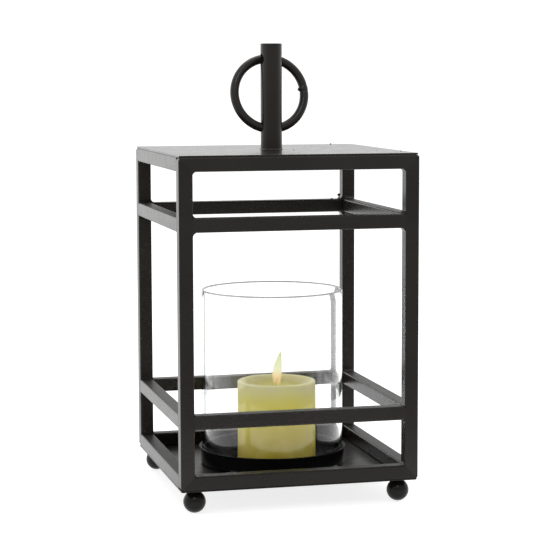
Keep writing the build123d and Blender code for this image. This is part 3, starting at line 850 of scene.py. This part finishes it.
# %% Pour the pillar
WAX_R = (wax_high.x - wax_low.x) / 2
POOL_Z = wax_high.z - 6.0 * MM
WAX_SIDES = 192
SIDE_DENTS = 0.22 * MM
RIM_SLUMP = 0.22 * MM
WALL_WOBBLE = 0.5 * MM    # of the soft wall round the pool
wax_profile = [(0.0, wax_low.z)]
wax_profile += [(WAX_R * share, wax_low.z) for share in (0.3, 0.6, 0.85)]
wax_profile += arc(WAX_R - 1.8 * MM, wax_low.z + 1.8 * MM, 1.8 * MM, -90.0, 0.0, 6)
wax_profile += [(WAX_R, wax_low.z + WAX_RISE * row / 20) for row in range(1, 20)]
wax_profile += arc(WAX_R - 1.4 * MM, wax_high.z - 1.4 * MM, 1.4 * MM, 0.0, 90.0, 8)
wax_profile += [(WAX_R - 3.4 * MM, wax_high.z - 0.15 * MM), (WAX_R - 4.8 * MM, wax_high.z - 0.9 * MM),
                (WAX_R - 6.0 * MM, wax_high.z - 2.3 * MM), (WAX_R - 7.0 * MM, wax_high.z - 4.0 * MM),
                (WAX_R - 8.0 * MM, POOL_Z + 0.8 * MM), (WAX_R - 9.6 * MM, POOL_Z + 0.15 * MM),
                (WAX_R - 12.0 * MM, POOL_Z)]
wax_profile += [(WAX_R * share, POOL_Z) for share in (0.5, 0.3, 0.18)]
wax_profile += [(WAX_R * 0.10, POOL_Z + 0.25 * MM), (WAX_R * 0.04, POOL_Z + 0.9 * MM),
                (0.0, POOL_Z + 1.0 * MM)]


def wax_skin(angle, index, radius, height):
    """Uneven rim, slightly dented side, still pool."""
    share = max(0.0, (height - wax_low.z) / WAX_RISE)
    spot = (math.cos(angle) * 0.035, math.sin(angle) * 0.035, height)
    side = SIDE_DENTS * (1.0 + ripple(spot, 45.0, 4.0))
    at_rim = max(0.0, (height - POOL_Z - 1.0 * MM) / (5.0 * MM))
    slump = RIM_SLUMP * at_rim * (1.0 + ripple((spot[0], spot[1], 0.0), 40.0, 9.0))
    wall = min(1.0, radius / WAX_R) ** 6
    inner = 0.0 if radius > WAX_R * 0.92 or height < POOL_Z + 0.1 * MM else WALL_WOBBLE
    wobble = inner * ripple((spot[0], spot[1], 0.0), 70.0, 6.0)
    return radius - side * wall * (0.5 + 0.5 * share) + wobble, height - slump


pillar = turned("wax_pillar", wax_profile, WAX_SIDES, nudge=wax_skin, centre=WAX_CENTRE)
seat(pillar, "candle", "olive_wax", olive_wax, "candle_wax")
print("candle, mm:", round(2 * WAX_R / MM, 1), "by", round(WAX_RISE / MM, 1))

# %% [markdown]
# ## The wick
#
# A wick is a braided cotton cord. Where it burns it turns black, curls over and thins to an
# ember. It is built as a tube along a bent line, thinner and rougher towards its tip, with
# three strands twisting round it. Its colour runs from waxy straw at the foot to soot black,
# with a trace of orange at the very end: the ember's glow, painted into the colour.

# %% Char the cotton
STRAND_RELIEF = 0.2 * MM

wick_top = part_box("candle_wick")[1].z
wick_cotton, wick_shader = new_finish("burnt_cotton")
burn = ranged(wick_cotton, along(wick_cotton, places(wick_cotton), "Z"), POOL_Z, wick_top, 0.0, 1.0)
# The last stop, orange at the tip, is the ember's glow painted into the colour.
char_and_ember_glow_colour = ramp(wick_cotton, burn, [(0.15, 0.62, 0.50, 0.16), (0.40, 0.34, 0.20, 0.06),
                                        (0.75, 0.030, 0.022, 0.015), (1.0, 0.22, 0.060, 0.010)])
strand_noise = grain(wick_cotton, 1400.0, 3.0)
ash = ranged(wick_cotton, strand_noise, 0.4, 0.8, 0.0, 0.5)
plug(wick_cotton, blend_colours(wick_cotton, ash, char_and_ember_glow_colour, (0.09, 0.07, 0.05)),
     wick_shader.inputs["Base Color"])
wick_shader.inputs["Roughness"].default_value = 0.85
plug(wick_cotton, relief(wick_cotton, strand_noise, STRAND_RELIEF), wick_shader.inputs["Normal"])

# %% Twist and bend the wick
WICK_ROWS = 26
WICK_SIDES = 24
WICK_R = 1.0 * MM
BENDS_FROM = 0.45         # share of its length where it begins to curl
CURL = 1.6 * MM

wick_build = bmesh.new()
wick_rings = []
wick_start = Vector((WAX_CENTRE[0], WAX_CENTRE[1], POOL_Z - 1.0 * MM))
for row in range(WICK_ROWS + 1):
    share = row / WICK_ROWS
    bend = max(0.0, share - BENDS_FROM) / (1.0 - BENDS_FROM)
    height = (wick_top - 0.4 * MM - wick_start.z) * (share - 0.10 * bend ** 2) / 0.90
    centre = wick_start + Vector((CURL * bend ** 1.8, 0.25 * MM * math.sin(share * 5.0), height))
    thick = (1.0 - 0.45 * bend) * WICK_R
    ring_of_verts = []
    for step in range(WICK_SIDES):
        angle = 2.0 * math.pi * step / WICK_SIDES
        strand = 1.0 + 0.14 * math.cos(3.0 * angle + share * 14.0)
        fray = 1.0 + 0.10 * ripple((angle, share * 9.0, 0.0), 2.0, 7.0)
        around = Vector((math.cos(angle), math.sin(angle), 0.0)) * thick * strand * fray
        around.z = -around.x * 0.55 * bend
        ring_of_verts.append(wick_build.verts.new(centre + around))
    wick_rings.append(ring_of_verts)
bridge(wick_build, wick_rings)
wick_build.faces.new(list(reversed(wick_rings[0])))
wick_build.faces.new(wick_rings[-1])
wick = meshed("burnt_wick", wick_build)
seat(wick, "candle", "wick_cotton", wick_cotton, "candle_wick")
print("wick stands above the pool by, mm:", round((wick_top - POOL_Z) / MM, 1))

# %% [markdown]
# ## The flame
#
# A candle flame is a hot gas that glows, so it is drawn with emission and partly transparent
# skin. Two shells are enough: a wide outer mantle of thin yellow and a narrow, nearly white
# core inside it. Both are orange at the wick and pale towards the tip. A volume shader would
# be closer to the physics, but two shells render fast and survive an export. The flame leans
# a little to the right in the draught.

# %% Glow of the flame
FLAME_TALL = 30.5 * MM
FLAME_FOOT = Vector((WAX_CENTRE[0] + 0.6 * MM, WAX_CENTRE[1], POOL_Z + 1.5 * MM))


def flame_finish(name, stops, low_alpha, high_alpha):
    """A glowing skin that goes from one colour to another with height."""
    material, shader = new_finish(name)
    rise = ranged(material, along(material, places(material), "Z"),
                  FLAME_FOOT.z, FLAME_FOOT.z + FLAME_TALL, 0.0, 1.0)
    shader.inputs["Base Color"].default_value = (0.0, 0.0, 0.0, 1.0)
    shader.inputs["Roughness"].default_value = 1.0
    shader.inputs["Specular IOR Level"].default_value = 0.0
    plug(material, ramp(material, rise, stops), shader.inputs["Emission Color"])
    shader.inputs["Emission Strength"].default_value = 1.0
    plug(material, ranged(material, rise, 0.0, 0.45, low_alpha, high_alpha), shader.inputs["Alpha"])
    return material


# %% Shape of the flame
FLAME_ROWS = 30
FLAME_SIDES = 32
FLAME_LEAN = 3.6 * MM


def flame_shell(name, width, foot_share, tall_share, glow):
    """A drop with a pointed top, leaning over as it rises."""
    build = bmesh.new()
    rings = []
    for row in range(FLAME_ROWS + 1):
        share = row / FLAME_ROWS
        drop = math.sin(math.pi / 2 * min(1.0, (1.0 - share) / 0.72)) ** 0.9
        radius = max(0.02 * MM, width / 2 * min(1.0, 0.62 + 1.5 * share) * drop)
        rise = foot_share + (tall_share - foot_share) * share
        lean = FLAME_LEAN * rise ** 1.7 - 0.5 * MM * math.sin(math.pi * rise)
        centre = FLAME_FOOT + Vector((lean, 0.3 * MM * math.sin(rise * 4.0), FLAME_TALL * rise))
        ring = []
        for step in range(FLAME_SIDES):
            angle = 2.0 * math.pi * step / FLAME_SIDES
            ring.append(build.verts.new(centre + Vector((radius * math.cos(angle),
                                                         radius * math.sin(angle), 0.0))))
        rings.append(ring)
    bridge(build, rings)
    build.faces.new(list(reversed(rings[0])))
    build.faces.new(rings[-1])
    shell = meshed(name, build)
    shell.data.materials.append(glow)
    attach(shell, "candle")


# %% Light the candle
mantle_glow = flame_finish("flame_mantle_glow",
                           [(0.00, 0.80, 0.68, 0.24), (0.16, 0.90, 0.62, 0.24), (0.32, 0.92, 0.74, 0.38),
                            (0.48, 0.84, 0.86, 0.52), (0.80, 0.74, 0.80, 0.44),
                            (1.00, 0.52, 0.60, 0.24)], low_alpha=0.30, high_alpha=0.72)
core_glow = flame_finish("flame_core_glow",
                         [(0.00, 0.90, 0.60, 0.26), (0.25, 1.00, 0.74, 0.48), (0.45, 0.95, 0.96, 0.78),
                          (1.00, 0.90, 0.95, 0.74)], low_alpha=0.35, high_alpha=0.85)
flame_shell("flame_mantle", 9.0 * MM, 0.0, 1.0, mantle_glow)
flame_shell("flame_core", 5.4 * MM, 0.05, 0.84, core_glow)
print("flame top, mm:", round((FLAME_FOOT.z + FLAME_TALL) / MM, 1))

# %% [markdown]
# ## Grains in the paint
#
# A few grains of grit and weld spatter stuck to the steel before it was coated. They are
# fractions of a millimetre across, and they only show where one breaks an outline or sits on
# a bright plate. Real ones are never round, so each is a lumpy little dome of its own. The
# largest is a bead of weld metal that froze on a short whisker in a back corner. All of them
# together are one piece, since they are part of the same coat.

# %% Place the grains
plate_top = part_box("top_plate")[1].z
upper_low, upper_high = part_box("upper_rail_back")
grains = []
for x, y, size in ((0.0148, -0.0229, 0.55), (0.0822, 0.0990, 0.80), (0.0983, -0.0698, 0.60),
                   (0.052, 0.055, 0.35), (-0.061, 0.030, 0.35), (-0.030, -0.070, 0.30),
                   (0.011, 0.080, 0.30), (0.081, -0.055, 0.30)):
    grains.append((Vector((x, y, plate_top)), size * MM))
for x, lift, size in ((0.0822, 0.0, 1.1), (0.0893, 0.2, 0.9), (0.0893, 1.3, 0.6), (0.0893, 2.3, 0.6),
                      (0.0892, 3.6, 1.5)):
    grains.append((Vector((x, upper_low.y + 3.0 * MM, upper_high.z + lift * MM)), size * MM))
print("grains:", len(grains))

# %% Shape the grains
dice = random.Random(17)
LUMPY = 0.35
grain_build = bmesh.new()
for spot, size in grains:
    made = bmesh.ops.create_icosphere(grain_build, subdivisions=2, radius=size)
    squash = dice.uniform(0.6, 0.9)
    offset = dice.uniform(0.0, 50.0)
    for vert in made["verts"]:
        lump = 1.0 + LUMPY * noise.noise(vert.co / size * 1.3 + Vector((offset, 0.0, 0.0)))
        vert.co = vert.co * lump
        vert.co.z = vert.co.z * squash + size * 0.25
        vert.co += spot
paint_grains = meshed("paint_grains", grain_build)
seat(paint_grains, "frame", "frame_black", satin_black)
